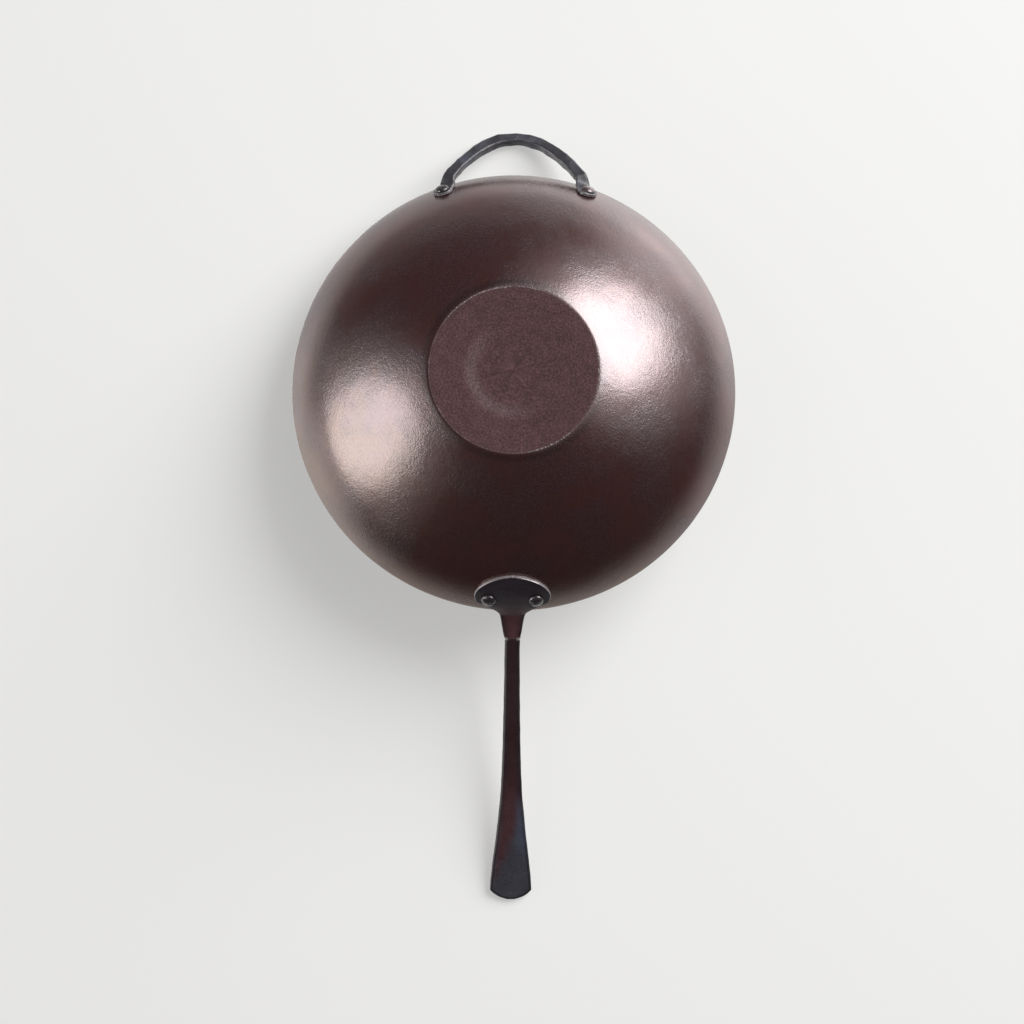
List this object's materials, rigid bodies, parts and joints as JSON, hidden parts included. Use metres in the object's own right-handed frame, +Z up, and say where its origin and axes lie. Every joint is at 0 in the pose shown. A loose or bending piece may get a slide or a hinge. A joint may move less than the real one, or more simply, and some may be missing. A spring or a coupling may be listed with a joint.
{
  "type": "wok",
  "caption": "Flat-based wok of pressed carbon steel with a riveted forged long handle, flared at its end, and an arched helper handle opposite.",
  "frame": {"origin": "middle of the flat base, on the plane that the wok stands on", "axes": "+Z up out of the bowl, +X towards the helper handle, -X towards the long handle, Y across"},
  "size_m": [0.5308, 0.305, 0.1667],
  "materials": {
    "bowl_steel": "seasoned carbon steel, dark reddish brown, satin outside with a duller base",
    "handle_steel": "forged and blackened steel, brown heat tint along the bar and blue-grey at the tip",
    "rivet_steel": "blackened domed rivet heads"
  },
  "bodies": {
    "root": {"bowl": "bowl_steel", "long_handle": "handle_steel", "helper_handle": "handle_steel", "handle_rivet_left": "rivet_steel", "handle_rivet_right": "rivet_steel", "helper_rivet_left": "rivet_steel", "helper_rivet_right": "rivet_steel"}
  },
  "joints": []
}
